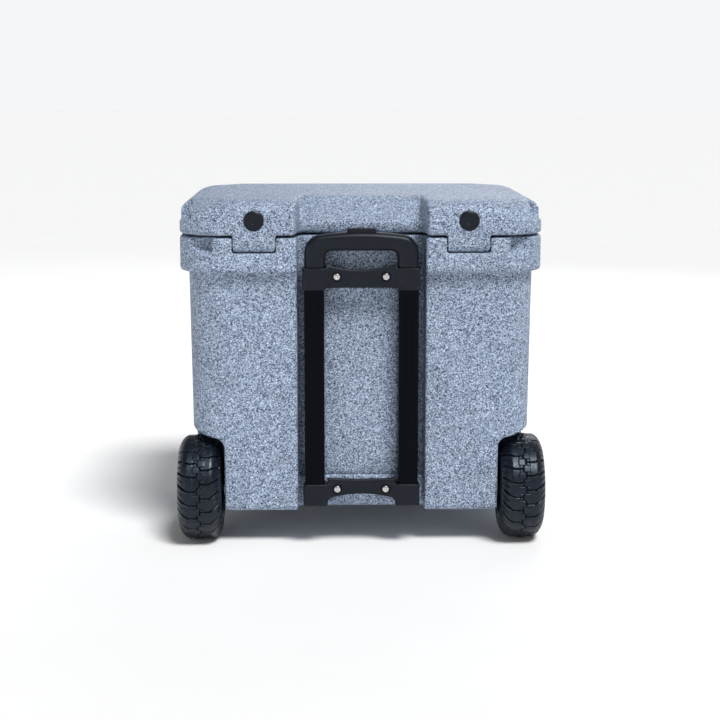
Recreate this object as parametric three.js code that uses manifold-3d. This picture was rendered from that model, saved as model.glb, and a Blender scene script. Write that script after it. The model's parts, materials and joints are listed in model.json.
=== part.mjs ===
// Hard-sided cooler on two wheels with a telescoping pull handle.
// Millimetres, +Z up, ground at z = 0. +X is to the right when the handle side is looked at,
// and +Y points from the handle side to the latch side.
// Everything is first laid out with y = 0 on the rear face of the rim (the handle side), and
// the whole group is then moved so that the origin is under the middle of the bounding box.
import * as THREE from 'three';
import { mergeVertices } from 'three/addons/utils/BufferGeometryUtils.js';
import Module from 'manifold-3d';

const wasm = await Module();
wasm.setup();

// ---- driving dimensions -------------------------------------------------------------------
const GAP = 0.3;                 // running or seating gap between neighbouring pieces
const ORIGIN_SHIFT = -213;       // puts the middle of the bounding box on y = 0

// rim outline, shared by the body rim and the lid
const HALF_WIDTH = 256;
const DEPTH = 430;
const CORNER_RADIUS = 62;
const CORNER_STEPS = 5;          // segments in a quarter circle on the outside
const CORE_STEPS = 3;            // and on the hidden faces
const FAR = 600;                 // how far a cutter runs past the piece it opens

// body
const BODY_BOTTOM = 48;
const RIM_BOTTOM = 392.5;
const RIM_TOP = 442;
const SKIN = 4;                  // wall of the moulded shells
const BODY_LEVELS = [            // [height, inset from the rim outline]
  [BODY_BOTTOM, 26], [52, 18.5], [60, 16.2], [386, 12.4], [RIM_BOTTOM, 9.5],
  [395, 3.5], [401, 0], [437.8, 0], [RIM_TOP, 5],
];

// channel for the handle, and what stands in it
const CHANNEL_HALF = 90;
const CHANNEL_FLOOR = 48;
const PANEL = { half: 54, front: 33, bottom: 98, top: 438 };
const BEAM = { front: 30, bottom: 57, top: 97 };

// ice compartment
const CAVITY_HALF = 198;
const CAVITY_REAR = 78;
const CAVITY_FRONT = 371;
const CAVITY_FLOOR = 101;
const CAVITY_RADIUS = 40;
const CAVITY_LEVELS = [[CAVITY_FLOOR, 12], [109, 4.5], [RIM_TOP + 10, 0]];
const HUMP = { inner: 165, front: 158, top: 182 };

// wheels and axle
const WHEEL_RADIUS = 75.5;
const TYRE_INNER = 198;          // inner and outer faces of a tyre, from the middle
const TYRE_OUTER = 264;
const AXLE_DEPTH = 58;
const AXLE_RADIUS = 5;
const SLEEVE_RADIUS = 8;
const WELL_RADIUS = 88.5;
const WELL_WALL = 195;
const BEAD_RADIUS = 38;
const HUB = { inner: -32, outer: 27 };   // its ends, from the tyre's middle plane

// lid
const LID_BOTTOM = 443.6;
const LID_TOP = 492.8;
const LID_LEVELS = [
  [LID_BOTTOM, 3.2], [446.8, 0], [479.5, 0], [485.5, 2.5], [490, 8.8], [LID_TOP, 19.5],
];
const NOTCH = { rearHalf: 93, floorHalf: 86, depth: 48, bandTop: 461, scoopDepth: 115 };
const LID_PLUG = { clearance: 4, drop: 9, radius: 36 };
const GASKET = { offset: 6, width: 6, groove: 2, height: 3 };
const PORT = { x: 149, z: 465, radius: 12.5, headRadius: 14 };
const TIE_POCKET = { inner: 237, front: 84, ledge: 464 };
const TIE_SCREW = { y: 58, z: 479, length: 8 };

// lid hinges
const HINGE_Y = 10;
const HINGE_Z = 431;
const HINGE_PIN_RADIUS = 4;
const KNUCKLE_RADIUS = 10;
const TONGUE = { inner: 119.6, outer: 178.4 };
const TONGUE_GAP = 1.2;
const HINGE_PIN = { inner: 108, outer: 204 };
const PIN_POCKET = { inner: 207, outer: 237, depth: 20, bottom: 417 };

// latches
const LATCH_X = 140;
const LATCH_RECESS = { half: 30, floor: 416, bottom: 362.5 };
const LATCH_PIN = { y: 424, z: 462, radius: 3, half: 36 };
const LATCH = { knuckleRadius: 7.5, half: 22, rear: 419, front: 429, headY: 436.2, headZ: 378,
  headRadius: 7, headHalf: 25, neckHalf: 8.5 };
const KEEPER = { inner: 10, outer: 24, front: 428.6, bottom: 372, top: 390 };

// handle
const TUBE_X = 66.3;
const TUBE_Y = 15;
const OUTER_TUBE = { w: 28, d: 20, wall: 1.6, bottom: 61, top: 398.8 };
const MIDDLE_TUBE = { w: 24, d: 16, wall: 1.4, bottom: 66, top: 399.6 };
const INNER_TUBE = { w: 20.4, d: 12.4, wall: 1.4, bottom: 72, top: 425 };
const COLLAR = { inner: 50, outer: 82.4, front: 3, rear: 28, bottom: 367.8, top: 399.3 };
const SOCKET = { inner: 48, outer: 82.8, front: 2.5, rear: 29.7, bottom: 58.8, top: 90.3 };
const WEB = { front: 7, rear: 15, half: 52, bossRadius: 7 };
const UPPER_WEB = { bottom: 371, bottomMiddle: 371, top: 398.9, topMiddle: 395.6 };
const LOWER_WEB = { bottom: 67.8, bottomMiddle: 75.7, top: 98.6, topMiddle: 96.6 };
const SCREW_X = 34.4;
const UPPER_SCREW_Z = 386.9;
const LOWER_SCREW_Z = 82.9;
const UPPER_SCREW_TIP = 58;
const LOWER_SCREW_TIP = 35;
const SCREW = { head: 4.5, headHeight: 2.6, shank: 2.2 };
const GRIP = { outerHalf: 79.8, innerHalf: 50.6, bottom: 400.2, top: 449, openTop: 423,
  front: 2, rear: 29, arch: 4, outerRadius: 23, innerRadius: 9, bevel: 5.5 };
const BUTTON = { half: 20, front: 8.5, rear: 22.5, bottom: 440, top: 454.7, travel: 4,
  grooves: 5 };
const SPRING = { y: 15.5, radius: 3, wire: 0.5, turns: 3, stepsPerTurn: 8, wellRadius: 4.5,
  wellDepth: 8 };

// front feet and drain
const LEG = { x: 168, y: 368, w: 88, d: 62, top: 60, bottom: 14, radius: 14 };
const DRAIN = { y: 300, z: 118, bore: 6, tube: 10, flange: 17, cap: 14.5, lobes: 6,
  inner: 199, seat: 241.2 };     // its inner end, and the body's outer wall

// ---- materials ----------------------------------------------------------------------------
const paint = (color, roughness, metalness) =>
  new THREE.MeshStandardMaterial({ color, roughness, metalness });
const granite = paint(0x9aa3ad, 0.62, 0);
const foamYellow = paint(0xe6dcae, 0.95, 0);
const blackPlastic = paint(0x17181a, 0.5, 0);
const blackRubber = paint(0x1a1c1f, 0.85, 0);
const blackAnodised = paint(0x141518, 0.32, 0.85);
const greyAluminium = paint(0xb9bcc0, 0.3, 0.95);
const steel = paint(0xc4c6c8, 0.25, 1);
const whiteNylon = paint(0xdad8d0, 0.5, 0);

// ---- solids: helpers ------------------------------------------------------------------------
// A geometry's vertices are joined and its empty triangles dropped before it becomes a solid.
function solid(geometry) {
  geometry.deleteAttribute('normal');
  geometry.deleteAttribute('uv');
  const joined = mergeVertices(geometry, 1e-4);
  const kept = [];
  const index = joined.index.array;
  for (let i = 0; i < index.length; i += 3) {
    const [a, b, c] = [index[i], index[i + 1], index[i + 2]];
    if (a !== b && b !== c && c !== a) kept.push(a, b, c);
  }
  const closed = (triangles) => new wasm.Manifold(new wasm.Mesh({
    numProp: 3,
    vertProperties: new Float32Array(joined.attributes.position.array),
    triVerts: new Uint32Array(triangles),
  }));
  // A profile may be drawn either way round, so an inside-out solid is turned the right way.
  const body = closed(kept);
  return body.volume() < 0 ? closed(kept.reverse()) : body;
}

function geometryOf(body) {
  const mesh = body.getMesh();
  const points = new Float32Array((mesh.vertProperties.length / mesh.numProp) * 3);
  for (let i = 0; i < points.length / 3; i += 1) {
    for (let k = 0; k < 3; k += 1) points[3 * i + k] = mesh.vertProperties[mesh.numProp * i + k];
  }
  const geometry = new THREE.BufferGeometry();
  geometry.setAttribute('position', new THREE.BufferAttribute(points, 3));
  geometry.setIndex(new THREE.BufferAttribute(new Uint32Array(mesh.triVerts), 1));
  return geometry;
}

const join = (...bodies) => bodies.reduce((all, one) => all.add(one));
const cut = (body, ...tools) => tools.reduce((left, tool) => left.subtract(tool), body);
const moved = (body, matrix) => solid(geometryOf(body).applyMatrix4(matrix));
const shifted = (body, x, y, z) => moved(body, new THREE.Matrix4().makeTranslation(x, y, z));
const mirrored = (body) => moved(body, new THREE.Matrix4().makeScale(-1, 1, 1));
const bothSides = (body) => body.add(mirrored(body));

// A box between two corners.
function block(x0, x1, y0, y1, z0, z1) {
  const geometry = new THREE.BoxGeometry(x1 - x0, y1 - y0, z1 - z0);
  geometry.translate((x0 + x1) / 2, (y0 + y1) / 2, (z0 + z1) / 2);
  return solid(geometry);
}

// Cylinders along X and along Y.
function rodX(radius, x0, x1, y, z, sides = 14) {
  const geometry = new THREE.CylinderGeometry(radius, radius, x1 - x0, sides);
  geometry.rotateZ(Math.PI / 2);
  geometry.translate((x0 + x1) / 2, y, z);
  return solid(geometry);
}

function rodY(radius, y0, y1, x, z, sides = 14) {
  const geometry = new THREE.CylinderGeometry(radius, radius, y1 - y0, sides);
  geometry.translate(x, (y0 + y1) / 2, z);
  return solid(geometry);
}

function rodZ(radius, z0, z1, x, y, sides = 14) {
  const geometry = new THREE.CylinderGeometry(radius, radius, z1 - z0, sides);
  geometry.rotateX(Math.PI / 2);
  geometry.translate(x, y, (z0 + z1) / 2);
  return solid(geometry);
}

function roundedRectangle(x0, x1, y0, y1, radius) {
  const shape = new THREE.Shape();
  shape.moveTo(x0 + radius, y0);
  shape.lineTo(x1 - radius, y0);
  shape.absarc(x1 - radius, y0 + radius, radius, -Math.PI / 2, 0, false);
  shape.lineTo(x1, y1 - radius);
  shape.absarc(x1 - radius, y1 - radius, radius, 0, Math.PI / 2, false);
  shape.lineTo(x0 + radius, y1);
  shape.absarc(x0 + radius, y1 - radius, radius, Math.PI / 2, Math.PI, false);
  shape.lineTo(x0, y0 + radius);
  shape.absarc(x0 + radius, y0 + radius, radius, Math.PI, 1.5 * Math.PI, false);
  return shape;
}

// A block with rounded upright edges whose outline is drawn in by a given inset at each level.
// Every outline point lies on a corner arc, so it moves along its own arc's radius.
function layered({ half, y0, y1, radius, levels, steps = CORNER_STEPS }) {
  const geometry = new THREE.ExtrudeGeometry(roundedRectangle(-half, half, y0, y1, radius), {
    depth: levels.length - 1, steps: levels.length - 1, bevelEnabled: false, curveSegments: steps,
  });
  const at = geometry.attributes.position;
  for (let i = 0; i < at.count; i += 1) {
    const [z, inset] = levels[Math.round(at.getZ(i))];
    const x = at.getX(i);
    const y = at.getY(i);
    const centreX = THREE.MathUtils.clamp(x, -half + radius, half - radius);
    const centreY = THREE.MathUtils.clamp(y, y0 + radius, y1 - radius);
    const scale = (radius - inset) / radius;
    at.setXYZ(i, centreX + (x - centreX) * scale, centreY + (y - centreY) * scale, z);
  }
  return solid(geometry);
}

// An outline drawn in X and Y, raised from z0 to z1, with an optional rounded edge.
function raised(shape, z0, z1, { edge = 0, edgeSteps = 2, steps = 6 } = {}) {
  const geometry = new THREE.ExtrudeGeometry(shape, {
    depth: z1 - z0 - 2 * edge, bevelEnabled: edge > 0, bevelThickness: edge, bevelSize: edge,
    bevelOffset: -edge, bevelSegments: edgeSteps, curveSegments: steps,
  });
  geometry.translate(0, 0, z0 + edge);
  return geometry;
}

// An outline drawn in X and Z, given depth from y0 to y1.
function plate(shape, y0, y1, options) {
  const geometry = raised(shape, -y1, -y0, options);
  geometry.rotateX(Math.PI / 2);
  return solid(geometry);
}

// An outline drawn in Y and Z, given width from x0 to x1.
function slice(shape, x0, x1, options) {
  const geometry = raised(shape, x0, x1, options);
  geometry.applyMatrix4(new THREE.Matrix4().makeBasis(
    new THREE.Vector3(0, 1, 0), new THREE.Vector3(0, 0, 1), new THREE.Vector3(1, 0, 0)));
  return solid(geometry);
}

function outline(points) {
  return new THREE.Shape(points.map(([a, b]) => new THREE.Vector2(a, b)));
}

// A profile of [radius, distance along the axis] points turned about an axis along X or Y.
function turned(profile, sides) {
  return new THREE.LatheGeometry(profile.map(([r, h]) => new THREE.Vector2(r, h)), sides);
}

function turnedX(profile, y, z, sides = 32) {
  const geometry = turned(profile, sides);
  geometry.rotateZ(-Math.PI / 2);
  geometry.translate(0, y, z);
  return solid(geometry);
}

function turnedY(profile, x, z, sides = 16) {
  const geometry = turned(profile, sides);
  geometry.translate(x, 0, z);
  return solid(geometry);
}

// ---- body ---------------------------------------------------------------------------------
// The recess that one wheel turns in, open behind, below and outwards.
function wheelWell(extra, inner, steps) {
  const radius = WELL_RADIUS + extra;
  const shape = new THREE.Shape();
  shape.absarc(AXLE_DEPTH, WHEEL_RADIUS, radius, Math.PI, 0, true);
  shape.lineTo(AXLE_DEPTH + radius, 0);
  shape.lineTo(AXLE_DEPTH - radius, 0);
  return slice(shape, inner, HALF_WIDTH + 60, { steps });
}

function cavity(extra) {
  const levels = CAVITY_LEVELS.map(([z, inset], i) => [i ? z : z - extra, inset]);
  const room = layered({ half: CAVITY_HALF + extra, y0: CAVITY_REAR - extra,
    y1: CAVITY_FRONT + extra, radius: CAVITY_RADIUS + extra, levels, steps: CORE_STEPS + 1 });
  const hump = block(HUMP.inner + extra, HALF_WIDTH, 0, HUMP.front - extra, 0, HUMP.top - extra);
  return cut(room, bothSides(hump));
}

// The outside of the body before anything is cut into it, drawn in by a given wall.
function bodyBlank(wall) {
  const inner = wall > 0;
  const levels = BODY_LEVELS
    .filter(([z]) => !inner || (z > BODY_BOTTOM + 8 && z < RIM_TOP - 8))
    .map(([z, inset]) => [z, inset + wall]);
  if (inner) {
    levels.unshift([BODY_BOTTOM + wall, BODY_LEVELS[0][1] + wall]);
    levels.push([RIM_TOP - wall, wall]);
  }
  const steps = inner ? CORE_STEPS : CORNER_STEPS;
  const walls = layered({ half: HALF_WIDTH, y0: 0, y1: DEPTH, radius: CORNER_RADIUS, levels, steps });
  const channel = block(-CHANNEL_HALF - wall, CHANNEL_HALF + wall, -FAR, CHANNEL_FLOOR + wall,
    0, FAR);
  const panel = block(wall - PANEL.half, PANEL.half - wall, PANEL.front + wall,
    CHANNEL_FLOOR + wall + 1, PANEL.bottom + wall, PANEL.top - wall);
  const beam = block(-CHANNEL_HALF - wall - 1, CHANNEL_HALF + wall + 1, BEAM.front + wall,
    CHANNEL_FLOOR + wall + 1, BEAM.bottom + wall, BEAM.top - wall);
  const leg = layered({ half: LEG.w / 2, y0: LEG.y - LEG.d / 2, y1: LEG.y + LEG.d / 2,
    radius: LEG.radius, levels: [[LEG.bottom + wall, 4 + wall], [LEG.top + wall, wall]],
    steps: CORE_STEPS });
  return join(cut(walls, channel), panel, beam, bothSides(shifted(leg, LEG.x, 0, 0)));
}

// Everything that is cut into the body, grown by a given wall.
function bodyCutters(wall) {
  const steps = wall > 0 ? 2 * CORE_STEPS : 12;
  const sides = wall > 0 ? 10 : 14;
  const hingeSlot = block(TONGUE.inner - TONGUE_GAP - wall, TONGUE.outer + TONGUE_GAP + wall, -FAR,
    HINGE_Y + KNUCKLE_RADIUS + 1 + wall, HINGE_Z - KNUCKLE_RADIUS - 1 - wall, FAR);
  const pinHole = rodX(HINGE_PIN_RADIUS + GAP + wall, HINGE_PIN.inner - GAP - wall,
    PIN_POCKET.inner + 1, HINGE_Y, HINGE_Z, sides);
  const pinPocket = slice(outline([
    [-5, PIN_POCKET.bottom - wall], [PIN_POCKET.depth + wall, PIN_POCKET.bottom + 12 - wall],
    [PIN_POCKET.depth + wall, FAR], [-5, FAR],
  ]), PIN_POCKET.inner - wall, PIN_POCKET.outer + wall);
  const latchHalf = LATCH_RECESS.half + wall;
  const latchRecess = block(LATCH_X - latchHalf, LATCH_X + latchHalf,
    LATCH_RECESS.floor - wall, FAR, LATCH_RECESS.bottom - wall, FAR);
  const screwHole = (tip, z) => rodY(SCREW.shank + GAP + wall, 20, tip + GAP + wall, SCREW_X, z, 8);
  return [
    cavity(wall),
    bothSides(wheelWell(wall, WELL_WALL - wall, steps)),
    bothSides(hingeSlot), bothSides(pinHole), bothSides(pinPocket), bothSides(latchRecess),
    bothSides(screwHole(UPPER_SCREW_TIP, UPPER_SCREW_Z)),
    bothSides(screwHole(LOWER_SCREW_TIP, LOWER_SCREW_Z)),
    rodX(SLEEVE_RADIUS + GAP + wall, -FAR, FAR, AXLE_DEPTH, WHEEL_RADIUS, sides + 2),
    rodX(DRAIN.tube + GAP + wall, 150, FAR, DRAIN.y, DRAIN.z, sides),
  ];
}

const plugHole = (extra, top) => rodZ(PORT.radius + extra, 0, top, 0, DEPTH / 2);

function bodySolid() {
  const keepers = [-1, 1].map((side) => block(
    LATCH_X + (side < 0 ? -KEEPER.outer : KEEPER.inner),
    LATCH_X + (side < 0 ? -KEEPER.inner : KEEPER.outer),
    LATCH_RECESS.floor - 2, KEEPER.front, KEEPER.bottom, KEEPER.top));
  const shaped = cut(bodyBlank(0), ...bodyCutters(0), plugHole(GAP, BODY_BOTTOM + SKIN + 1));
  return join(shaped, ...keepers.map(bothSides));
}

// The space inside the moulded shell, a given wall thickness away from every surface. The narrow
// strips in front of the hinge pins are solid plastic.
const bodyCore = (wall) => cut(bodyBlank(wall), ...bodyCutters(wall),
  bothSides(block(TONGUE.outer, PIN_POCKET.inner, -FAR, HINGE_Y, HINGE_Z, FAR)));

const bodyShell = cut(bodySolid(), bodyCore(SKIN));
const bodyFoam = cut(bodyCore(SKIN + GAP), plugHole(1, BODY_BOTTOM + SKIN + 5));

// ---- lid ----------------------------------------------------------------------------------
// The notch that keeps the lid clear of the handle, with a scoop rising to the lid's top.
function lidNotch(extra) {
  const deep = raised(outline([
    [-NOTCH.rearHalf - extra, -FAR], [NOTCH.rearHalf + extra, -FAR],
    [NOTCH.rearHalf + extra, 0], [NOTCH.floorHalf + extra, NOTCH.depth + extra],
    [-NOTCH.floorHalf - extra, NOTCH.depth + extra], [-NOTCH.rearHalf - extra, 0],
  ]), 0, FAR);
  const scoop = slice(outline([
    [-FAR, NOTCH.bandTop - extra], [NOTCH.depth, NOTCH.bandTop - extra],
    [NOTCH.scoopDepth + extra, LID_TOP - extra / 2], [NOTCH.scoopDepth + extra, FAR], [-FAR, FAR],
  ]), -NOTCH.floorHalf - extra, NOTCH.floorHalf + extra);
  return join(solid(deep), scoop);
}

function lidCore(wall) {
  const levels = LID_LEVELS
    .filter(([z]) => z > LID_BOTTOM + 4 && z < LID_TOP - 4)
    .map(([z, inset]) => [z - (z > LID_TOP - 14 ? wall / 2 : 0), inset + wall]);
  levels.unshift([LID_BOTTOM + wall, wall]);
  levels.push([LID_TOP - wall, LID_LEVELS.at(-1)[1]]);
  levels.splice(1, 1);
  const outer = layered({ half: HALF_WIDTH, y0: 0, y1: DEPTH, radius: CORNER_RADIUS, levels,
    steps: CORE_STEPS });
  const { inner, front, ledge } = TIE_POCKET;
  return cut(outer,
    lidNotch(wall),
    bothSides(block(inner - TIE_SCREW.length - 2 - wall, FAR, -FAR, front + 4 + wall,
      ledge - wall, FAR)),
    bothSides(block(LATCH_X - LATCH_PIN.half - wall, LATCH_X + LATCH_PIN.half + wall,
      LATCH_RECESS.floor - wall, FAR, 0, FAR)));
}

function lidSolid() {
  const top = layered({ half: HALF_WIDTH, y0: 0, y1: DEPTH, radius: CORNER_RADIUS,
    levels: LID_LEVELS });
  const plug = layered({ half: CAVITY_HALF - LID_PLUG.clearance,
    y0: CAVITY_REAR + LID_PLUG.clearance, y1: CAVITY_FRONT - LID_PLUG.clearance,
    radius: LID_PLUG.radius,
    levels: [[LID_BOTTOM - LID_PLUG.drop, 3], [LID_BOTTOM + 2, 0]], steps: CORE_STEPS + 1 });
  const tongue = join(
    block(TONGUE.inner, TONGUE.outer, HINGE_Y - KNUCKLE_RADIUS, HINGE_Y + KNUCKLE_RADIUS,
      HINGE_Z, LID_BOTTOM + 3.4),
    rodX(KNUCKLE_RADIUS, TONGUE.inner, TONGUE.outer, HINGE_Y, HINGE_Z, 20));
  const tonguePin = rodX(HINGE_PIN_RADIUS + GAP, TONGUE.inner - 1, TONGUE.outer + 1,
    HINGE_Y, HINGE_Z);
  const latchRecess = block(LATCH_X - LATCH_RECESS.half, LATCH_X + LATCH_RECESS.half,
    LATCH_RECESS.floor, FAR, 0, FAR);
  const latchPinHole = rodX(LATCH_PIN.radius + GAP, LATCH_X - LATCH_PIN.half - GAP,
    LATCH_X + LATCH_PIN.half + GAP, LATCH_PIN.y, LATCH_PIN.z, 12);
  const tiePocket = block(TIE_POCKET.inner, FAR, -FAR, TIE_POCKET.front, TIE_POCKET.ledge, FAR);
  const tieScrewHole = rodX(SCREW.shank + GAP, TIE_POCKET.inner - TIE_SCREW.length - GAP,
    TIE_POCKET.inner + 1, TIE_SCREW.y, TIE_SCREW.z, 8);
  const port = rodY(PORT.radius + GAP, -5, SKIN + 1, PORT.x, PORT.z, 20);
  const groove = gasketRing(GAP, LID_BOTTOM - 1, LID_BOTTOM + GASKET.groove);
  return cut(join(top, plug, bothSides(tongue)),
    lidNotch(0), groove,
    bothSides(latchRecess), bothSides(latchPinHole), bothSides(tiePocket), bothSides(tieScrewHole),
    bothSides(tonguePin), bothSides(port));
}

function gasketRing(extra, z0, z1) {
  const ring = (low, high, grow) => layered({ half: CAVITY_HALF + grow, y0: CAVITY_REAR - grow,
    y1: CAVITY_FRONT + grow, radius: CAVITY_RADIUS + grow, levels: [[low, 0], [high, 0]] });
  return ring(z0, z1, GASKET.offset + GASKET.width + extra)
    .subtract(ring(z0 - 1, z1 + 1, GASKET.offset - extra));
}

const lidShell = cut(lidSolid(), lidCore(SKIN));
const lidFoam = cut(lidCore(SKIN + GAP),
  bothSides(rodY(PORT.radius + 1, -5, SKIN + 5, PORT.x, PORT.z)));
const lidGasket = gasketRing(0, LID_BOTTOM + GASKET.groove - GAP - GASKET.height,
  LID_BOTTOM + GASKET.groove - GAP);

// ---- handle -------------------------------------------------------------------------------
// A rectangular tube with rounded corners, open at both ends.
function tube({ w, d, wall, bottom, top }, radius) {
  const section = (shrink) => roundedRectangle(TUBE_X - w / 2 + shrink, TUBE_X + w / 2 - shrink,
    TUBE_Y - d / 2 + shrink, TUBE_Y + d / 2 - shrink, Math.max(radius - shrink, 0.6));
  const shape = section(0);
  shape.holes.push(section(wall));
  return solid(raised(shape, bottom, top, { steps: 3 }));
}

function tubeSpace({ w, d }, extra, z0, z1) {
  return block(TUBE_X - w / 2 - extra, TUBE_X + w / 2 + extra,
    TUBE_Y - d / 2 - extra, TUBE_Y + d / 2 + extra, z0, z1);
}

// A web between the two tubes, with its bosses for the screws reaching the body.
function web({ bottom, bottomMiddle, top, topMiddle }, screwZ, bossRear) {
  const shape = new THREE.Shape();
  shape.moveTo(-WEB.half, bottom);
  shape.quadraticCurveTo(0, 2 * bottomMiddle - bottom, WEB.half, bottom);
  shape.lineTo(WEB.half, top);
  shape.quadraticCurveTo(0, 2 * topMiddle - top, -WEB.half, top);
  const boss = rodY(WEB.bossRadius, WEB.rear - 1, bossRear, SCREW_X, screwZ, 12);
  return join(plate(shape, WEB.front, WEB.rear, { steps: 6 }), bothSides(boss));
}

function sleeve({ inner, outer, front, rear, bottom, top }) {
  return solid(raised(roundedRectangle(inner, outer, front, rear, 5), bottom, top,
    { edge: 1.5, edgeSteps: 1, steps: 2 }));
}

const upperBracket = cut(
  join(bothSides(sleeve(COLLAR)),
    web(UPPER_WEB, UPPER_SCREW_Z, PANEL.front - GAP)),
  bothSides(tubeSpace(OUTER_TUBE, GAP, 0, FAR)),
  bothSides(rodY(SCREW.shank + GAP, -FAR, FAR, SCREW_X, UPPER_SCREW_Z, 8)));

const lowerBracket = cut(
  join(bothSides(sleeve(SOCKET)),
    web(LOWER_WEB, LOWER_SCREW_Z, BEAM.front - GAP)),
  bothSides(tubeSpace(OUTER_TUBE, GAP, OUTER_TUBE.bottom - GAP, FAR)),
  bothSides(rodY(SCREW.shank + GAP, -FAR, FAR, SCREW_X, LOWER_SCREW_Z, 8)));

function gripSolid() {
  const { outerHalf: a, innerHalf: b, bottom, top, openTop, outerRadius: r, innerRadius: s } = GRIP;
  const shoulder = top - GRIP.arch;
  const shape = new THREE.Shape();
  shape.moveTo(-a, bottom);
  shape.lineTo(-b, bottom);
  shape.lineTo(-b, openTop - s);
  shape.absarc(-b + s, openTop - s, s, Math.PI, Math.PI / 2, true);
  shape.lineTo(b - s, openTop);
  shape.absarc(b - s, openTop - s, s, Math.PI / 2, 0, true);
  shape.lineTo(b, bottom);
  shape.lineTo(a, bottom);
  shape.lineTo(a, shoulder - r);
  shape.absarc(a - r, shoulder - r, r, 0, Math.PI / 2, false);
  shape.quadraticCurveTo(0, top + GRIP.arch, r - a, shoulder);
  shape.absarc(r - a, shoulder - r, r, Math.PI / 2, Math.PI, false);
  return plate(shape, GRIP.front, GRIP.rear, { edge: GRIP.bevel, edgeSteps: 2, steps: 4 });
}

const buttonWell = block(-BUTTON.half - GAP, BUTTON.half + GAP, BUTTON.front - GAP,
  BUTTON.rear + GAP, BUTTON.bottom - BUTTON.travel - GAP, FAR);
const SPRING_FLOOR = BUTTON.bottom - BUTTON.travel - SPRING.wellDepth;
const springWell = rodZ(SPRING.wellRadius, SPRING_FLOOR, BUTTON.bottom, 0, SPRING.y, 12);
const grip = cut(gripSolid(), buttonWell, springWell,
  bothSides(tubeSpace(INNER_TUBE, GAP, 0, INNER_TUBE.top + GAP)));

// The release button has shallow grooves across its top.
function buttonSolid() {
  const base = solid(raised(roundedRectangle(-BUTTON.half, BUTTON.half, BUTTON.front, BUTTON.rear,
    2.5), BUTTON.bottom, BUTTON.top, { edge: 1.5, edgeSteps: 1, steps: 3 }));
  const pitch = (2 * BUTTON.half) / (BUTTON.grooves + 1);
  const grooves = Array.from({ length: BUTTON.grooves }, (_, i) => {
    const x = -BUTTON.half + pitch * (i + 1);
    return block(x - 1, x + 1, 0, FAR, BUTTON.top - 1.2, FAR);
  });
  return cut(base, ...grooves);
}

// The compression spring under the button.
function springSolid() {
  const bottom = SPRING_FLOOR + SPRING.wire + GAP;
  const top = BUTTON.bottom - SPRING.wire - GAP;
  const points = [];
  const count = SPRING.turns * SPRING.stepsPerTurn;
  for (let i = 0; i <= count; i += 1) {
    const turn = (2 * Math.PI * i) / SPRING.stepsPerTurn;
    points.push(new THREE.Vector3(SPRING.radius * Math.cos(turn),
      SPRING.y + SPRING.radius * Math.sin(turn), bottom + ((top - bottom) * i) / count));
  }
  const section = new THREE.Shape();
  section.absarc(0, 0, SPRING.wire, 0, 2 * Math.PI, false);
  return solid(new THREE.ExtrudeGeometry(section, {
    steps: count, curveSegments: 3, extrudePath: new THREE.CatmullRomCurve3(points),
  }));
}

// A pan-head screw along Y: head towards the handle side, tip at y = tip.
function screwY(x, z, headBack, tip) {
  const { head, headHeight: h, shank } = SCREW;
  return turnedY([[0, headBack - h], [head * 0.6, headBack - h], [head, headBack - h * 0.4],
    [head, headBack - 0.05], [shank, headBack - 0.05], [shank, tip - 2], [0, tip]], x, z, 12);
}

function tieScrew() {
  const { head, headHeight: h, shank } = SCREW;
  const seat = TIE_POCKET.inner;
  const tip = seat - TIE_SCREW.length;
  return turnedX([[0, tip], [shank, tip + 1], [shank, seat + 0.05], [head, seat + 0.05],
    [head, seat + h * 0.6], [head * 0.6, seat + h], [0, seat + h]], TIE_SCREW.y, TIE_SCREW.z, 12);
}

// ---- wheels and axle ------------------------------------------------------------------------
const TYRE_HALF = (TYRE_OUTER - TYRE_INNER) / 2;
const TYRE_MIDDLE = (TYRE_OUTER + TYRE_INNER) / 2;
// [radius, distance from the tyre's middle plane], drawn round the section
const TYRE_SECTION = [
  [BEAD_RADIUS, -26.5], [44, -31], [53, -TYRE_HALF], [62, -32], [69.5, -28], [74, -22],
  [WHEEL_RADIUS, -15], [WHEEL_RADIUS, 15], [74, 22], [69.5, 28], [62, 32], [53, TYRE_HALF],
  [44, 31], [BEAD_RADIUS, 26.5], [BEAD_RADIUS, -26.5],
];
const RIM_SECTION = [
  [SLEEVE_RADIUS, HUB.inner], [14, HUB.inner], [14, -10], [31, -8], [34.5, -25.5],
  [BEAD_RADIUS - GAP, -25.5], [BEAD_RADIUS - GAP, 25.5], [34.5, 25.5], [31, 10], [14, 12],
  [14, HUB.outer], [SLEEVE_RADIUS, HUB.outer], [SLEEVE_RADIUS, HUB.inner],
];
const SPOKE_HOLES = 6;
const SPOKE_HOLE_CIRCLE = 22.5;

function wheelPiece(section, sides) {
  return turnedX(section.map(([r, h]) => [r, h + TYRE_MIDDLE]), AXLE_DEPTH, WHEEL_RADIUS, sides);
}

function rimSolid() {
  const holes = Array.from({ length: SPOKE_HOLES }, (_, i) => {
    const turn = (2 * Math.PI * i) / SPOKE_HOLES;
    return rodX(4.8, 0, FAR, AXLE_DEPTH + SPOKE_HOLE_CIRCLE * Math.cos(turn),
      WHEEL_RADIUS + SPOKE_HOLE_CIRCLE * Math.sin(turn), 8);
  });
  return cut(wheelPiece(RIM_SECTION, 24), ...holes);
}

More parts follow.
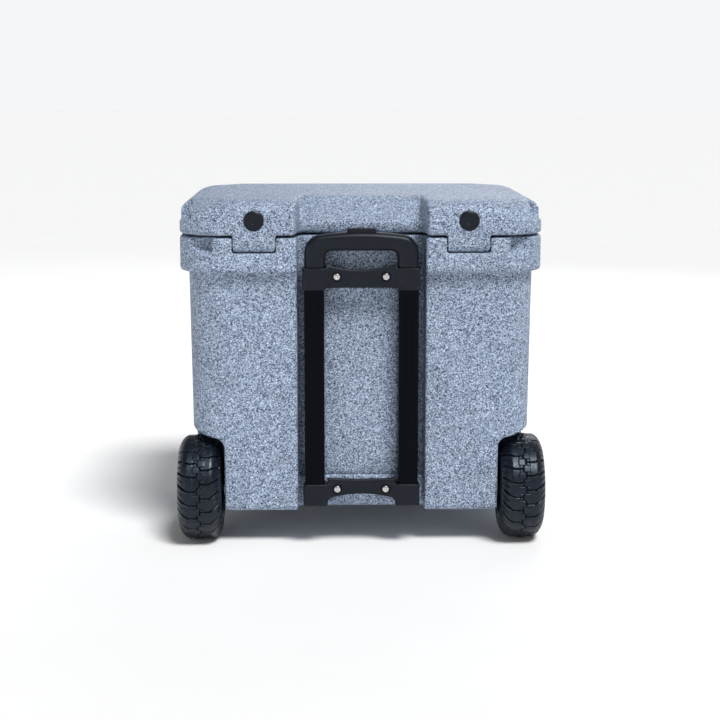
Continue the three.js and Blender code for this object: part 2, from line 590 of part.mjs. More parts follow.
// A plain ring on the axle, between two distances from the tyre's middle plane.
const ring = (radius, h0, h1) => wheelPiece([[AXLE_RADIUS + GAP, h0], [radius, h0], [radius, h1],
  [AXLE_RADIUS + GAP, h1], [AXLE_RADIUS + GAP, h0]], 16);
const bearing = ring(SLEEVE_RADIUS - GAP, HUB.inner, HUB.outer);
const washer = ring(12, HUB.inner - 3, HUB.inner - 0.5);
const CAP = { inner: HUB.outer + 0.6, roof: HUB.outer + 3.4, outer: HUB.outer + 5, radius: 10 };
const axleCap = wheelPiece([[0, CAP.outer], [6, CAP.outer], [CAP.radius, CAP.outer - 2.5],
  [CAP.radius, CAP.inner], [AXLE_RADIUS + GAP, CAP.inner], [AXLE_RADIUS + GAP, CAP.roof],
  [0, CAP.roof]], 16);
const AXLE_END = TYRE_MIDDLE + CAP.roof - 0.4;

// ---- latch ----------------------------------------------------------------------------------
function latchSolid() {
  const { y, z, radius } = LATCH_PIN;
  const { knuckleRadius, half, rear, front, headY, headZ, headRadius, headHalf, neckHalf } = LATCH;
  const strap = plate(outline([
    [-half, z], [-half, 402], [-neckHalf, 394], [-neckHalf, headZ - 4], [neckHalf, headZ - 4],
    [neckHalf, 394], [half, 402], [half, z],
  ]), rear, front);
  const tab = plate(roundedRectangle(-18, 18, headZ - 26, headZ + 2, 8), headY - 3, headY + 4,
    { steps: 3 });
  const body = join(strap, rodX(knuckleRadius, -half, half, y, z, 20),
    block(-neckHalf, neckHalf, rear, headY, headZ - 4, headZ + 6),
    rodX(headRadius, -headHalf, headHalf, headY, headZ, 20), tab);
  return shifted(cut(body, rodX(radius + GAP, -half - 1, half + 1, y, z, 12)), LATCH_X, 0, 0);
}

const latch = latchSolid();
const latchPin = rodX(LATCH_PIN.radius, LATCH_X - LATCH_PIN.half, LATCH_X + LATCH_PIN.half,
  LATCH_PIN.y, LATCH_PIN.z, 12);

// ---- plugs, feet and drain ------------------------------------------------------------------
const portPlug = turnedY([[0, -2.4], [PORT.headRadius - 2.5, -2.4], [PORT.headRadius, -0.9],
  [PORT.headRadius, -GAP], [PORT.radius, -GAP], [PORT.radius, SKIN], [0, SKIN]],
PORT.x, PORT.z, 20);
const bottomPlug = join(
  rodZ(PORT.radius, BODY_BOTTOM - 1, BODY_BOTTOM + SKIN, 0, DEPTH / 2),
  rodZ(PORT.headRadius, BODY_BOTTOM - 3, BODY_BOTTOM - GAP, 0, DEPTH / 2));
const foot = shifted(layered({ half: LEG.w / 2 - 3, y0: LEG.y - LEG.d / 2 + 3,
  y1: LEG.y + LEG.d / 2 - 3, radius: 12, levels: [[0, 2.5], [2.5, 0], [LEG.bottom - GAP, 0]],
  steps: CORE_STEPS }), LEG.x, 0, 0);

const drainTube = turnedX([[DRAIN.bore, DRAIN.inner], [DRAIN.tube, DRAIN.inner],
  [DRAIN.tube, DRAIN.seat + 0.4],
  [DRAIN.flange, DRAIN.seat + 0.4], [DRAIN.flange, DRAIN.seat + 3], [DRAIN.bore, DRAIN.seat + 3],
  [DRAIN.bore, DRAIN.inner]], DRAIN.y, DRAIN.z, 20);
const drainSeal = turnedX([[DRAIN.bore, DRAIN.seat + 3.3], [12, DRAIN.seat + 3.3],
  [12, DRAIN.seat + 4.8], [DRAIN.bore, DRAIN.seat + 4.8], [DRAIN.bore, DRAIN.seat + 3.3]],
DRAIN.y, DRAIN.z, 20);
const drainCap = cut(
  turnedX([[0, 222], [DRAIN.bore - GAP, 222], [DRAIN.bore - GAP, DRAIN.seat + 5.1],
    [DRAIN.cap, DRAIN.seat + 5.1], [DRAIN.cap, DRAIN.seat + 11], [DRAIN.cap - 2, DRAIN.seat + 13],
    [0, DRAIN.seat + 13]], DRAIN.y, DRAIN.z, 24),
  ...Array.from({ length: DRAIN.lobes }, (_, i) => {
    const turn = (2 * Math.PI * i) / DRAIN.lobes;
    return rodX(3, DRAIN.seat + 4, DRAIN.seat + 20, DRAIN.y + 15.5 * Math.cos(turn),
      DRAIN.z + 15.5 * Math.sin(turn), 10);
  }));

// ---- the assembly ---------------------------------------------------------------------------
const cooler = new THREE.Group();
cooler.position.y = ORIGIN_SHIFT;

function place(name, body, material) {
  const mesh = new THREE.Mesh(geometryOf(body), material);
  mesh.name = name;
  cooler.add(mesh);
}

// Two mirror-image copies, left at -X and right at +X.
function placePair(name, body, material) {
  place(`${name}_left`, mirrored(body), material);
  place(`${name}_right`, body, material);
}

place('body_shell', bodyShell, granite);
place('body_foam', bodyFoam, foamYellow);
place('body_port_plug', bottomPlug, blackPlastic);
placePair('front_foot', foot, blackRubber);
place('drain_tube', drainTube, blackPlastic);
place('drain_seal', drainSeal, blackRubber);
place('drain_cap', drainCap, blackPlastic);

place('lid_shell', lidShell, granite);
place('lid_foam', lidFoam, foamYellow);
place('lid_gasket', lidGasket, blackRubber);
placePair('lid_port_plug', portPlug, blackPlastic);
placePair('tie_down_screw', tieScrew(), steel);
placePair('hinge_pin',
  rodX(HINGE_PIN_RADIUS, HINGE_PIN.inner, HINGE_PIN.outer, HINGE_Y, HINGE_Z), steel);
placePair('latch', latch, blackRubber);
placePair('latch_pin', latchPin, steel);

place('upper_bracket', upperBracket, blackPlastic);
place('lower_bracket', lowerBracket, blackPlastic);
placePair('upper_bracket_screw',
  screwY(SCREW_X, UPPER_SCREW_Z, WEB.front - GAP, UPPER_SCREW_TIP), steel);
placePair('lower_bracket_screw',
  screwY(SCREW_X, LOWER_SCREW_Z, WEB.front - GAP, LOWER_SCREW_TIP), steel);
placePair('outer_tube', tube(OUTER_TUBE, 4), blackAnodised);
placePair('middle_tube', tube(MIDDLE_TUBE, 3.2), blackAnodised);
placePair('inner_tube', tube(INNER_TUBE, 2.6), greyAluminium);
place('handle_grip', grip, blackPlastic);
place('release_button', buttonSolid(), blackPlastic);
place('button_spring', springSolid(), steel);

place('axle_rod', rodX(AXLE_RADIUS, -AXLE_END, AXLE_END, AXLE_DEPTH, WHEEL_RADIUS), steel);
place('axle_sleeve', turnedX([[AXLE_RADIUS + GAP, -WELL_WALL + 0.5],
  [SLEEVE_RADIUS, -WELL_WALL + 0.5], [SLEEVE_RADIUS, WELL_WALL - 0.5],
  [AXLE_RADIUS + GAP, WELL_WALL - 0.5], [AXLE_RADIUS + GAP, -WELL_WALL + 0.5]],
AXLE_DEPTH, WHEEL_RADIUS, 20), whiteNylon);
placePair('tyre', wheelPiece(TYRE_SECTION, 36), blackRubber);
placePair('wheel_rim', rimSolid(), blackPlastic);
placePair('wheel_bearing', bearing, whiteNylon);
placePair('axle_washer', washer, steel);
placePair('axle_cap', axleCap, blackPlastic);

export default cooler;
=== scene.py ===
import json
import math

import bmesh
import bpy
import numpy as np
import openvdb as vdb
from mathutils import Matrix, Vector


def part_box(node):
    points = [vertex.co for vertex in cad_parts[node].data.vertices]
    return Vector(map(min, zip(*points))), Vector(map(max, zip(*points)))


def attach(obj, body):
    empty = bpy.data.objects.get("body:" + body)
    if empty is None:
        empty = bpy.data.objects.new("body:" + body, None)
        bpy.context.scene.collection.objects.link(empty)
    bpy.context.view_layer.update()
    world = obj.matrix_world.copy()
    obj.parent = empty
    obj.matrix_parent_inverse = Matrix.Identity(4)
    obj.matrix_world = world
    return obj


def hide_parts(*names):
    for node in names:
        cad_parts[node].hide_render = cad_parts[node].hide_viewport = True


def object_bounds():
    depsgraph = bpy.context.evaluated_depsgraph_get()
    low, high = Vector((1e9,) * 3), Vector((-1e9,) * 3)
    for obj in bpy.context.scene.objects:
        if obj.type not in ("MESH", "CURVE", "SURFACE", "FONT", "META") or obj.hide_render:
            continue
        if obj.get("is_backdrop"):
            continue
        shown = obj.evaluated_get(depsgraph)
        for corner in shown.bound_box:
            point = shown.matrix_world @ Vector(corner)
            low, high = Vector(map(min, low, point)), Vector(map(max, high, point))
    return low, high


# Looks for the wheeled cooler. Shapes are worked out in millimetres in the CAD's layout: x to the
# right, y as the depth behind the rim's rear face, z up. Moulded pieces are drawn as signed
# distances on a fine grid, so that every edge and inside corner gets a real radius.

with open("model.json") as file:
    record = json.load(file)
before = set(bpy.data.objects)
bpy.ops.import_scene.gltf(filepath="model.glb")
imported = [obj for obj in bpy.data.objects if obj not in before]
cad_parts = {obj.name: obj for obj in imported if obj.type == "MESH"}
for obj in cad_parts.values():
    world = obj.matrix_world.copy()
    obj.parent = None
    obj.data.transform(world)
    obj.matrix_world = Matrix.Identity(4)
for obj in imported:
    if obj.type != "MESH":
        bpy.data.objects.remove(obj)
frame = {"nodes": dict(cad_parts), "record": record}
cad_box = [list(corner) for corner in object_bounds()]
MM = 0.001
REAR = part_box("lid_shell")[0].y          # the rim's rear face, in metres

# ---- the CAD's driving dimensions, in millimetres ---------------------------------------------
HALF, DEPTH, CORNER = 256, 430, 62            # the rim and the lid, seen from above
RIM_BOTTOM, RIM_TOP, BODY_BOTTOM = 392.5, 442, 48
WALL_AT_60, WALL_SLOPE = -16.2, 3.8 / 326     # inset of the wall at z = 60, and how it leans out
CHANNEL_HALF, CHANNEL_FLOOR = 90, 48
PANEL_HALF, PANEL_FRONT, PANEL_BOTTOM, PANEL_TOP = 54, 33, 98, 438
BEAM_FRONT, BEAM_BOTTOM, BEAM_TOP = 30, 57, 97
ROOM_HALF, ROOM_REAR, ROOM_FRONT, ROOM_FLOOR = 198, 78, 371, 101     # the ice compartment
HUMP_INNER, HUMP_FRONT, HUMP_TOP = 165, 158, 182
AXLE_Y, AXLE_Z, AXLE_RADIUS, AXLE_END = 58, 75.5, 5, 261
WELL_RADIUS, WELL_WALL = 88.5, 195
LEG_X, LEG_HALF, LEG_REAR, LEG_FRONT, LEG_BOTTOM = 168, 44, 337, 399, 14
DRAIN_Y, DRAIN_Z = 300, 118
LID_BOTTOM, LID_TOP = 443.6, 492.8
LIP_HALF, LIP_REAR, LIP_FRONT, LIP_DEPTH = 194, 82, 367, 9
HINGE_Y, HINGE_Z, KNUCKLE, HINGE_PIN = 10, 431, 10, 4
TONGUE_INNER, TONGUE_OUTER, TONGUE_GAP = 119.6, 178.4, 1.2
PIN_POCKET_INNER, PIN_POCKET_OUTER, PIN_POCKET_DEPTH = 207, 237, 20
TIE_WALL, TIE_FRONT, TIE_LEDGE = 237, 84, 464
TIE_SCREW_Y, TIE_SCREW_Z = 58, 479
PORT_X, PORT_Z, PORT_RADIUS = 149, 465, 12.9
LATCH_X, LATCH_RECESS, LATCH_FLOOR, LATCH_BOTTOM = 140, 30, 416, 362.5
LATCH_PIN_Y, LATCH_PIN_Z, LATCH_PIN = 424, 462, 3
TUBE_X, TUBE_Y = 66.3, 15
SCREW_X, UPPER_SCREW_Z, LOWER_SCREW_Z, SCREW_HEAD = 34.4, 386.9, 82.9, 4.5
WEB_FRONT, WEB_REAR = 7, 15
TYRE_MIDDLE, TYRE_HALF, TYRE_RADIUS = 231, 33, 75.5
FOAM_INSET = 4.5                              # how deep the foam lies in the mouldings


# ---- signed distances -------------------------------------------------------------------------
def within(a, b, r=0.0):
    """Inside both, with the outer edge rounded to radius r."""
    if r <= 0:
        return np.maximum(a, b)
    return np.minimum(-r, np.maximum(a, b)) + np.hypot(np.maximum(r + a, 0), np.maximum(r + b, 0))


def joined(a, b, r):
    """Inside either, with a fillet of radius r where they meet."""
    return -within(-a, -b, r)


def carved(a, b, r=0.0):
    """Inside a and outside b, with the edge rounded to radius r."""
    return within(a, -b, r)


def slab(u, u0, u1):
    """Between two parallel planes."""
    return np.abs(u - (u0 + u1) / 2) - (u1 - u0) / 2


def rectangle(u, v, u0, u1, v0, v1, r=0.0):
    return within(slab(u, u0, u1), slab(v, v0, v1), r)


def disc(u, v, cu, cv, r):
    return np.hypot(u - cu, v - cv) - r


def plan(x, y, half, y0, y1, corner):
    """A rounded rectangle seen from above, in true distances."""
    qx = np.abs(x) - half + corner
    qy = np.abs(y - (y0 + y1) / 2) - (y1 - y0) / 2 + corner
    return np.hypot(np.maximum(qx, 0), np.maximum(qy, 0)) + np.minimum(np.maximum(qx, qy), 0) - corner


class Grid:
    """Open axes between two corners; a field on it becomes a mesh with skin()."""

    def __init__(self, lo, hi, step):
        self.lo, self.step = np.array(lo, float), step
        counts = [int(math.ceil((h - l) / step)) + 1 for l, h in zip(lo, hi)]
        self.x, self.y, self.z = (
            (l + step * np.arange(n, dtype=np.float32)).reshape([-1 if k == i else 1 for k in range(3)])
            for i, (l, n) in enumerate(zip(lo, counts)))
        self.shape = tuple(counts)

    def skin(self, field, adaptivity=0.0):
        """The surface where the field is zero; adaptivity lets flat stretches have larger faces."""
        band = 3 * self.step
        values = np.clip(np.broadcast_to(field, self.shape), -band, band).astype(np.float32)
        grid = vdb.FloatGrid(band)
        grid.copyFromArray(np.ascontiguousarray(values))
        points, triangles, quads = grid.convertToPolygons(isovalue=0.0, adaptivity=adaptivity)
        return points.astype(float) * self.step + self.lo, triangles, quads


# ---- meshes -----------------------------------------------------------------------------------
def build(name, skin, body, finish, replaces=(), mirrored=False, sharp=None):
    """A mesh from points in the layout's millimetres, riding on a body in place of CAD nodes."""
    points, triangles, quads = skin
    points = np.array(points, float)
    if mirrored:
        points[:, 0] *= -1
        triangles, quads = triangles[:, ::-1], quads[:, ::-1]
    world = points * MM
    world[:, 1] += REAR
    mesh = bpy.data.meshes.new(name)
    mesh.vertices.add(len(world))
    mesh.vertices.foreach_set("co", world.astype(np.float32).ravel())
    loops = np.concatenate([triangles.ravel(), quads.ravel()]).astype(np.int32)
    mesh.loops.add(len(loops))
    mesh.loops.foreach_set("vertex_index", loops)
    starts = np.concatenate([3 * np.arange(len(triangles)),
                             3 * len(triangles) + 4 * np.arange(len(quads))]).astype(np.int32)
    mesh.polygons.add(len(starts))
    mesh.polygons.foreach_set("loop_start", starts)
    mesh.polygons.foreach_set("use_smooth", np.ones(len(starts), bool))
    mesh.update(calc_edges=True)
    mesh.validate()
    if sharp is not None:
        mesh.set_sharp_from_angle(angle=math.radians(sharp))
    piece = bpy.data.objects.new(name, mesh)
    bpy.context.scene.collection.objects.link(piece)
    mesh.materials.append(finish)
    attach(piece, body)
    if replaces:
        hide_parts(*replaces)
    return piece


def pair(name, skin, bodies, finish, node, sharp=None):
    """The right-hand piece and its mirror image on the left."""
    left, right = bodies
    build(f"{name}_right", skin, right, finish, [f"{node}_right"], sharp=sharp)
    build(f"{name}_left", skin, left, finish, [f"{node}_left"], mirrored=True, sharp=sharp)


NO_TRIANGLES = np.zeros((0, 3), int)


def swept(rings, closed_along=False):
    """Quads over an array of closed rings, [along, round, 3], turned to face outwards."""
    rings = np.asarray(rings, float)
    along, around = rings.shape[:2]
    i = np.arange(along if closed_along else along - 1)[:, None]
    j = np.arange(around)[None, :]
    corner = lambda a, b: (a % along) * around + b % around
    quads = np.stack([corner(i, j), corner(i, j + 1), corner(i + 1, j + 1), corner(i + 1, j)], -1)
    points, quads = rings.reshape(-1, 3), quads.reshape(-1, 4)
    spokes = points[quads] - points.mean(0)
    inside_out = np.einsum("ij,ij->", spokes[:, 0], np.cross(spokes[:, 1], spokes[:, 2])) < 0
    return points, NO_TRIANGLES, quads[:, ::-1] if inside_out else quads


def turned(profile, axis, centre, sides=72):
    """A [radius, height] profile turned about X, Y or Z. A zero radius is drawn as a tiny ring."""
    turn = 2 * np.pi * np.arange(sides) / sides
    r = np.array([max(p[0], 0.01) for p in profile])[:, None]
    h = np.array([p[1] for p in profile])[:, None] + 0 * turn
    u, v = r * np.cos(turn), r * np.sin(turn)
    order = {"x": (h, u, v), "y": (v, h, u), "z": (u, v, h)}[axis]
    closed = math.dist(profile[0], profile[-1]) < 1e-6
    rings = np.stack(order, -1) + np.array(centre, float)
    return swept(rings[:-1] if closed else rings, closed_along=closed)


def softened(profile, r=0.6, steps=3):
    """The same closed or open profile with each corner rounded off."""
    points = [np.array(p, float) for p in profile]
    closed = np.allclose(points[0], points[-1])
    if closed:
        points = points[:-1]
    n, out = len(points), []
    for i, p in enumerate(points):
        if not closed and i in (0, n - 1):
            out.append(p)
            continue
        a, b = points[i - 1] - p, points[(i + 1) % n] - p
        la, lb = np.linalg.norm(a), np.linalg.norm(b)
        cut = min(r, 0.45 * la, 0.45 * lb)
        start, end = p + a / la * cut, p + b / lb * cut
        for t in np.linspace(0, 1, steps + 1):
            out.append((1 - t) ** 2 * start + 2 * t * (1 - t) * p + t ** 2 * end)
    return out + [out[0]] if closed else out


# ---- materials --------------------------------------------------------------------------------
class Finish:
    """A small builder of node materials on one Principled shader."""

    def __init__(self, name, **sockets):
        self.material = bpy.data.materials.new(name)
        self.material.use_nodes = True
        self.tree = self.material.node_tree
        self.shader = self.tree.nodes["Principled BSDF"]
        for key, value in sockets.items():
            self.shader.inputs[key.replace("_", " ")].default_value = value
        self.place = self.node("ShaderNodeTexCoord").outputs["Object"]

    def node(self, kind, **settings):
        made = self.tree.nodes.new(kind)
        for key, value in settings.items():
            setattr(made, key, value)
        return made

    def link(self, source, target):
        self.tree.links.new(source, target)

    def noise(self, scale, detail=2.0, roughness=0.5, place=None):
        made = self.node("ShaderNodeTexNoise")
        made.inputs["Scale"].default_value = scale
        made.inputs["Detail"].default_value = detail
        made.inputs["Roughness"].default_value = roughness
        self.link(place or self.place, made.inputs["Vector"])
        return made.outputs["Fac"]

    def cells(self, scale, place=None, output="Color"):
        made = self.node("ShaderNodeTexVoronoi")
        made.inputs["Scale"].default_value = scale
        self.link(place or self.place, made.inputs["Vector"])
        return made.outputs[output]

    def red(self, colour):
        made = self.node("ShaderNodeSeparateColor")
        self.link(colour, made.inputs[0])
        return made.outputs[0]

    def ramp(self, value, stops):
        made = self.node("ShaderNodeValToRGB")
        elements = made.color_ramp.elements
        while len(elements) < len(stops):
            elements.new(0.5)
        for element, (at, colour) in zip(elements, stops):
            element.position = at
            shade = colour if isinstance(colour, tuple) else (colour,) * 3
            element.color = (*shade, 1)
        self.link(value, made.inputs[0])
        return made.outputs[0]

    def spread(self, value, low, high, start=0.0, end=1.0):
        made = self.node("ShaderNodeMapRange")
        for key, number in zip(("From Min", "From Max", "To Min", "To Max"), (start, end, low, high)):
            made.inputs[key].default_value = number
        self.link(value, made.inputs["Value"])
        return made.outputs[0]

    def maths(self, operation, a, b):
        made = self.node("ShaderNodeMath", operation=operation)
        for socket, value in zip(made.inputs, (a, b)):
            if isinstance(value, (int, float)):
                socket.default_value = value
            else:
                self.link(value, socket)
        return made.outputs[0]

    def mix(self, share, a, b, blend="MIX"):
        made = self.node("ShaderNodeMix", data_type="RGBA", blend_type=blend)
        for socket, value in zip((made.inputs[0], made.inputs[6], made.inputs[7]), (share, a, b)):
            if isinstance(value, (int, float)):
                socket.default_value = value
            elif isinstance(value, tuple):
                socket.default_value = (*value, 1)
            else:
                self.link(value, socket)
        return made.outputs[2]

    def stretched(self, x, y, z):
        made = self.node("ShaderNodeMapping")
        made.inputs["Scale"].default_value = (x, y, z)
        self.link(self.place, made.inputs["Vector"])
        return made.outputs[0]

    def wear_and_painted_highlight(self, amount):
        """How exposed an edge is, from the geometry's own convexity: it lightens convex edges, for wear
        and as a painted edge highlight.
        """
        # painted highlight: convex edges are picked out to be drawn paler, standing for edge sheen as
        # well as wear
        convexity = self.node("ShaderNodeNewGeometry").outputs["Pointiness"]
        return self.spread(convexity, 0.0, amount, 0.52, 0.62)

    def finish(self, colour=None, roughness=None, bump=None, strength=0.2, height=0.0003):
        if colour is not None:
            self.link(colour, self.shader.inputs["Base Color"])
        if roughness is not None:
            self.link(roughness, self.shader.inputs["Roughness"])
        if bump is not None:
            made = self.node("ShaderNodeBump")
            made.inputs["Strength"].default_value = strength
            made.inputs["Distance"].default_value = height
            self.link(bump, made.inputs["Height"])
            self.link(made.outputs[0], self.shader.inputs["Normal"])
        return self.material


def granite():
    """Speckled moulding plastic: dark, mid and pale blue-grey grains about 1 mm across."""
    f = Finish("granite_plastic", Specular_IOR_Level=0.35)
    warp = f.node("ShaderNodeTexNoise", noise_dimensions="3D")
    warp.inputs["Scale"].default_value = 1500
    f.link(f.place, warp.inputs["Vector"])
    shift = f.node("ShaderNodeVectorMath", operation="MULTIPLY_ADD")
    shift.inputs[1].default_value = (0.0006,) * 3
    f.link(warp.outputs["Color"], shift.inputs[0])
    f.link(f.place, shift.inputs[2])
    place = shift.outputs[0]
    grains = f.red(f.cells(900, place))
    coarse = f.ramp(grains, [(0.0, (0.013, 0.023, 0.048)), (0.17, (0.023, 0.037, 0.070)),
                             (0.24, (0.097, 0.13, 0.19)), (0.40, (0.15, 0.195, 0.275)),
                             (0.52, (0.27, 0.34, 0.455)), (0.80, (0.34, 0.42, 0.56)),
                             (0.90, (0.49, 0.57, 0.71)), (1.0, (0.65, 0.74, 0.89))])
    fine = f.ramp(f.red(f.cells(1700, place)), [(0.0, 0.5), (0.3, 0.9), (1.0, 1.2)])
    cloud = f.spread(f.noise(9, 3), 0.95, 1.05, 0.3, 0.7)
    colour = f.mix(1.0, f.mix(0.7, coarse, fine, "MULTIPLY"), cloud, "MULTIPLY")
    rough = f.spread(f.noise(260, 3), 0.5, 0.68, 0.3, 0.7)
    peel = f.maths("ADD", f.noise(420, 3), f.maths("MULTIPLY", f.noise(1300, 2), 0.5))
    return f.finish(colour, rough, peel, 0.22, 0.0004)


def moulded_black(name, shade, rough, grain, strength):
    """Satin black plastic with a fine spark-eroded texture, a little paler on convex edges: wear and a
    painted edge highlight.
    """
    f = Finish(name, Specular_IOR_Level=0.26, Specular_Tint=(0.86, 0.92, 1.0, 1))
    tone = f.spread(f.noise(60, 4), 0.8, 1.25, 0.3, 0.7)
    base = f.mix(1.0, shade, tone, "MULTIPLY")
    # painted highlight: convex edges are made paler, standing for edge sheen as well as wear
    colour = f.mix(f.wear_and_painted_highlight(0.3), base, tuple(2.5 * c for c in shade))
    roughness = f.maths("ADD", f.spread(f.noise(180, 3), rough - 0.07, rough + 0.07, 0.3, 0.7),
                        f.spread(f.noise(grain * 0.7, 1), -0.03, 0.03, 0.3, 0.7))
    return f.finish(colour, roughness, f.noise(grain, 2), strength, 0.00025)


def tread_rubber():
    """Tyre rubber: blue-black, with faint dust in patches, and paler convex edges for wear and a
    painted edge highlight.
    """
    f = Finish("tyre_rubber", Specular_IOR_Level=0.42, Specular_Tint=(0.72, 0.85, 1.0, 1))
    dust = f.maths("MULTIPLY", f.spread(f.noise(38, 5, 0.65), 0.0, 1.0, 0.42, 0.75), 0.5)
    base = f.mix(dust, (0.0015, 0.0025, 0.006), (0.005, 0.008, 0.017))
    # painted highlight: convex edges are made paler and bluish, standing for the tread edges' sheen as
    # well as wear
    colour = f.mix(f.wear_and_painted_highlight(0.35), base, (0.02, 0.028, 0.045))
    rough = f.spread(f.noise(240, 4), 0.28, 0.44, 0.3, 0.7)
    return f.finish(colour, rough, f.noise(1500, 3), 0.25, 0.0002)


def soft_rubber():
    """Matt black rubber of the latches, seals and soles."""
    f = Finish("black_rubber", Specular_IOR_Level=0.25)
    patches = f.spread(f.noise(90, 4), 0, 1, 0.3, 0.7)
    colour = f.mix(patches, (0.008, 0.009, 0.011), (0.018, 0.02, 0.024))
    rough = f.spread(f.noise(300, 3), 0.62, 0.85, 0.3, 0.7)
    return f.finish(colour, rough, f.noise(1100, 3), 0.25, 0.0002)


def anodised():
    """Extruded tube, black anodised: die lines run along its length."""
    f = Finish("black_anodised", Metallic=1.0, Anisotropic=0.5)
    lines = f.noise(1.0, 3, 0.6, f.stretched(1500, 1500, 5))
    colour = f.mix(f.spread(lines, 0, 1, 0.3, 0.7), (0.0045, 0.0052, 0.0072), (0.0075, 0.0085, 0.0115))
    rough = f.spread(lines, 0.24, 0.42, 0.3, 0.7)
    return f.finish(colour, rough, lines, 0.12, 0.00012)


def bare_metal(name, low, high, rough, stretch):
    """Metal drawn or turned: fine lines run where the stretch is small."""
    f = Finish(name, Metallic=1.0, Anisotropic=0.4)
    lines = f.noise(1.0, 3, 0.6, f.stretched(*stretch))
    colour = f.mix(f.spread(lines, 0, 1, 0.3, 0.7), low, high)
    smudge = f.spread(f.noise(120, 3), -0.05, 0.08, 0.3, 0.7)
    roughness = f.maths("ADD", f.spread(lines, rough - 0.06, rough + 0.06, 0.3, 0.7), smudge)
    return f.finish(colour, roughness, lines, 0.1, 0.0001)


def foam():
    """Poured insulation: pale yellow, with small closed bubbles."""
    f = Finish("insulation_foam", Roughness=0.95)
    bubbles = f.cells(900, output="Distance")
    colour = f.mix(f.spread(f.noise(30, 4), 0, 1, 0.3, 0.7), (0.62, 0.52, 0.25), (0.80, 0.71, 0.42))
    return f.finish(colour, None, bubbles, 0.5, 0.0004)


def nylon():
    """Off-white bearing plastic."""
    f = Finish("white_nylon", Specular_IOR_Level=0.45)
    colour = f.mix(f.spread(f.noise(70, 4), 0, 1, 0.3, 0.7), (0.62, 0.60, 0.54), (0.76, 0.74, 0.69))
    rough = f.spread(f.noise(260, 3), 0.38, 0.55, 0.3, 0.7)
    return f.finish(colour, rough, f.noise(700, 2), 0.12, 0.0002)


GRANITE = granite()
BLACK = moulded_black("black_plastic", (0.004, 0.0055, 0.0095), 0.40, 1400, 0.16)
WHEEL_BLACK = moulded_black("wheel_plastic", (0.009, 0.0095, 0.011), 0.52, 900, 0.2)
TYRE = tread_rubber()
RUBBER = soft_rubber()
ANODISED = anodised()
ALUMINIUM = bare_metal("bare_aluminium", (0.50, 0.51, 0.53), (0.68, 0.69, 0.71), 0.34, (1500, 1500, 6))
STEEL = bare_metal("stainless_steel", (0.50, 0.49, 0.47), (0.72, 0.71, 0.68), 0.26, (60, 900, 900))
FOAM = foam()
NYLON = nylon()


# ---- body -------------------------------------------------------------------------------------
def body_field(g):
    x, y, z = np.abs(g.x), g.y, g.z
    edge = plan(x, y, HALF, 0, DEPTH, CORNER)
    wall = within(edge - WALL_AT_60 - (z - 60) * WALL_SLOPE, BODY_BOTTOM - z, 10)
    rim = within(edge, slab(z, RIM_BOTTOM, RIM_TOP - 0.6), 4)
    d = joined(np.maximum(wall, z - RIM_TOP + 6), rim, 3)
    # the channel with its raised panel and cross beam
    d = carved(d, rectangle(x, y, -CHANNEL_HALF, CHANNEL_HALF, -40, CHANNEL_FLOOR, 6), 4)
    panel = rectangle(x, z, -PANEL_HALF, PANEL_HALF, PANEL_BOTTOM, PANEL_TOP, 4)
    d = joined(d, within(panel, slab(y, PANEL_FRONT, CHANNEL_FLOOR + 12), 3), 3)
    beam = rectangle(y, z, BEAM_FRONT, CHANNEL_FLOOR + 12, BEAM_BOTTOM, BEAM_TOP)
    d = joined(d, within(beam, x - CHANNEL_HALF - 2, 3), 2.5)
    # ice compartment, with a hump over each wheel
    room = within(plan(x, y, ROOM_HALF, ROOM_REAR, ROOM_FRONT, 40), ROOM_FLOOR - z, 14)
    hump = within(within(HUMP_INNER - x, y - HUMP_FRONT, 14), z - HUMP_TOP, 14)
    d = carved(d, carved(room, hump, 12), 6)
    # wheel wells, open downwards
    above_axle = np.hypot(y - AXLE_Y, z - AXLE_Z)
    arch = np.where(z > AXLE_Z, above_axle, np.abs(y - AXLE_Y)) - WELL_RADIUS
    d = carved(d, within(arch, WELL_WALL - x, 12), 2.5)
    # hinge slot, pin pocket
    slot = slab(x, TONGUE_INNER - TONGUE_GAP, TONGUE_OUTER + TONGUE_GAP)
    behind = np.maximum(y - HINGE_Y - KNUCKLE - 1, HINGE_Z - KNUCKLE - 1 - z)
    d = carved(d, within(slot, behind, 2), 2.2)
    pocket = within(417 + np.maximum(y + 5, 0) * 0.3 - z, x - PIN_POCKET_OUTER, 12)
    d = carved(d, np.maximum(np.maximum(pocket, PIN_POCKET_INNER - x), y - PIN_POCKET_DEPTH), 2)
    # latch recess with two keepers
    recess = within(slab(x, LATCH_X - LATCH_RECESS, LATCH_X + LATCH_RECESS), LATCH_BOTTOM - z, 8)
    d = carved(d, np.maximum(recess, LATCH_FLOOR - y), 3)
    keeper = within(slab(x, LATCH_X - 24, LATCH_X + 24), slab(z, 372, 390), 2)
    keeper = within(keeper, y - 428.6, 2.5)
    gap_between = 10 - np.abs(x - LATCH_X)
    d = joined(d, np.maximum(keeper, np.maximum(LATCH_FLOOR - 4 - y, gap_between)), 1.5)
    # front legs
    leg = plan(x - LEG_X, y, LEG_HALF, LEG_REAR, LEG_FRONT, 14)
    d = joined(d, within(leg, slab(z, LEG_BOTTOM, 70), 3), 5)
    # drain hole, on the right only
    hole = np.maximum(disc(y, z, DRAIN_Y, DRAIN_Z, 10.3), 180 - g.x)
    return carved(d, hole, 0.8)


def moulding(grid, field, body, names, nodes):
    """A skin of granite plastic, and the foam that fills it."""
    build(names[0], grid.skin(field, 0.012), body, GRANITE, nodes[:1])
    build(names[1], grid.skin(field + FOAM_INSET, 0.2), body, FOAM, nodes[1:])


body_grid = Grid((-260, -4, 10), (260, 434, 446), 2.0)
moulding(body_grid, body_field(body_grid), "cooler_body",
         ("cooler_body_moulding", "body_filling"), ("body_shell", "body_foam"))


